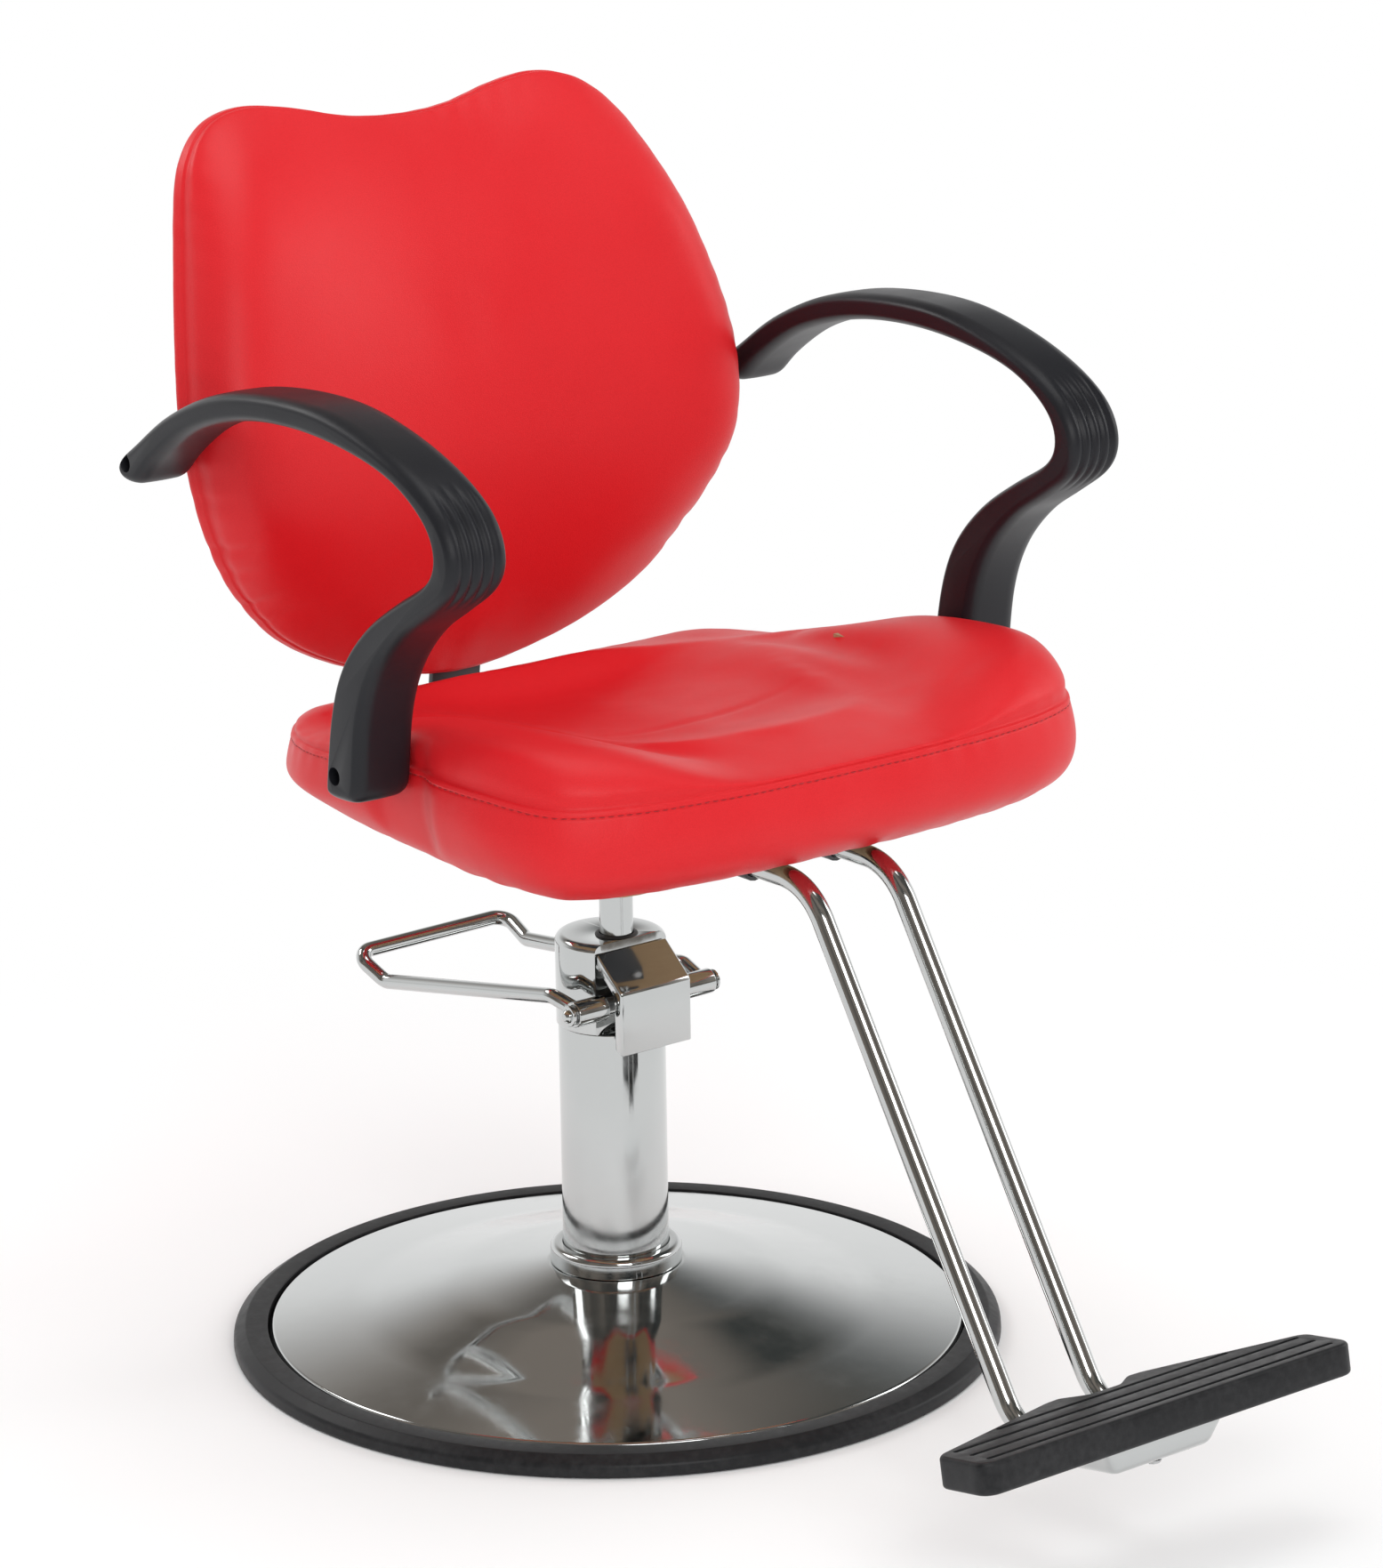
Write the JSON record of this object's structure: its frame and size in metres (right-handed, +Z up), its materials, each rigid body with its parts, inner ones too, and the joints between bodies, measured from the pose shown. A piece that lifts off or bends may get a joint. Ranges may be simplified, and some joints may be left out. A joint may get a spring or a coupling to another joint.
{
  "type": "hydraulic barber chair",
  "caption": "Barber chair with a padded seat and waisted back between loop arms, a footrest on twin tubes, and a foot-pumped hydraulic pedestal on a round base.",
  "frame": {"origin": "on the floor under the middle of the pump and of the round base", "axes": "+Z up, the sitter faces -Y, the sitter's right arm is at -X"},
  "size_m": [0.598, 0.9047, 0.9127],
  "materials": {
    "chrome": "polished",
    "steel": "satin",
    "cast_iron": "matte",
    "bronze": "satin",
    "black_steel": "satin",
    "black_rubber": "satin",
    "black_plastic": "satin",
    "red_vinyl": "satin",
    "plywood": "matte",
    "seal_rubber": "matte"
  },
  "bodies": {
    "base": {"base_ring": "black_rubber", "base_plate": "cast_iron", "base_cover": "chrome", "base_collar": "chrome", "pump_tube": "chrome", "pump_foot": "cast_iron", "base_bolt_1": "steel", "base_bolt_2": "steel", "base_bolt_3": "steel", "base_bolt_4": "steel", "inner_cylinder": "steel", "pump_cap": "chrome", "ram_bush": "bronze", "ram_seal": "seal_rubber", "lever_hood": "chrome", "plunger_spring": "steel"},
    "lever": {"foot_lever": "chrome", "lever_axle": "steel", "axle_nut_left": "chrome", "axle_nut_right": "chrome"},
    "plunger": {"plunger": "steel"},
    "ram": {"piston": "steel", "piston_seal": "seal_rubber"},
    "seat": {"ram_rod": "chrome", "seat_socket": "black_steel", "seat_plate": "black_steel", "seat_plate_bolt_1": "steel", "seat_plate_bolt_2": "steel", "seat_plate_bolt_3": "steel", "seat_plate_bolt_4": "steel", "seat_board": "plywood", "seat_cushion": "red_vinyl", "back_bar": "black_steel", "bar_bolt_1": "steel", "bar_bolt_2": "steel", "back_board": "plywood", "back_cushion": "red_vinyl", "back_cover": "red_vinyl", "back_screw_1": "steel", "back_screw_2": "steel", "armrest_left": "black_plastic", "armrest_right": "black_plastic", "arm_screw_front_left": "steel", "arm_screw_front_right": "steel", "arm_screw_rear_left": "steel", "arm_screw_rear_right": "steel", "footrest_tube_left": "chrome", "footrest_tube_right": "chrome", "footrest_strap_front": "black_steel", "footrest_strap_rear": "black_steel", "strap_screw_front_left": "steel", "strap_screw_front_right": "steel", "strap_screw_rear_left": "steel", "strap_screw_rear_right": "steel", "footrest_pad": "black_rubber", "footrest_tray": "chrome", "pad_screw_1": "steel", "pad_screw_2": "steel"}
  },
  "joints": [
    {"name": "foot_lever", "type": "hinge", "parent": "base", "child": "lever", "pos_m": [0, -0.037, 0.271], "axis": [-1, 0, 0], "range_deg": [-8, 23], "stiffness_Nm_per_rad": 8, "springref_deg": -5.44},
    {"name": "pump_plunger", "type": "slide", "parent": "base", "child": "plunger", "axis": [0, 0, -1], "range_m": [-0.001, 0.0028], "deforming": ["plunger_spring"]},
    {"name": "seat_lift", "type": "slide", "parent": "base", "child": "ram", "axis": [0, 0, 1], "range_m": [0, 0.15]},
    {"name": "seat_swivel", "type": "hinge", "parent": "ram", "child": "seat", "pos_m": [0, -0.0078, 0.4225], "axis": [0, 0, 1], "continuous": true}
  ],
  "couplings": [
    {"joint": "pump_plunger", "follows": "foot_lever", "m_per_rad": 0.0068}
  ]
}
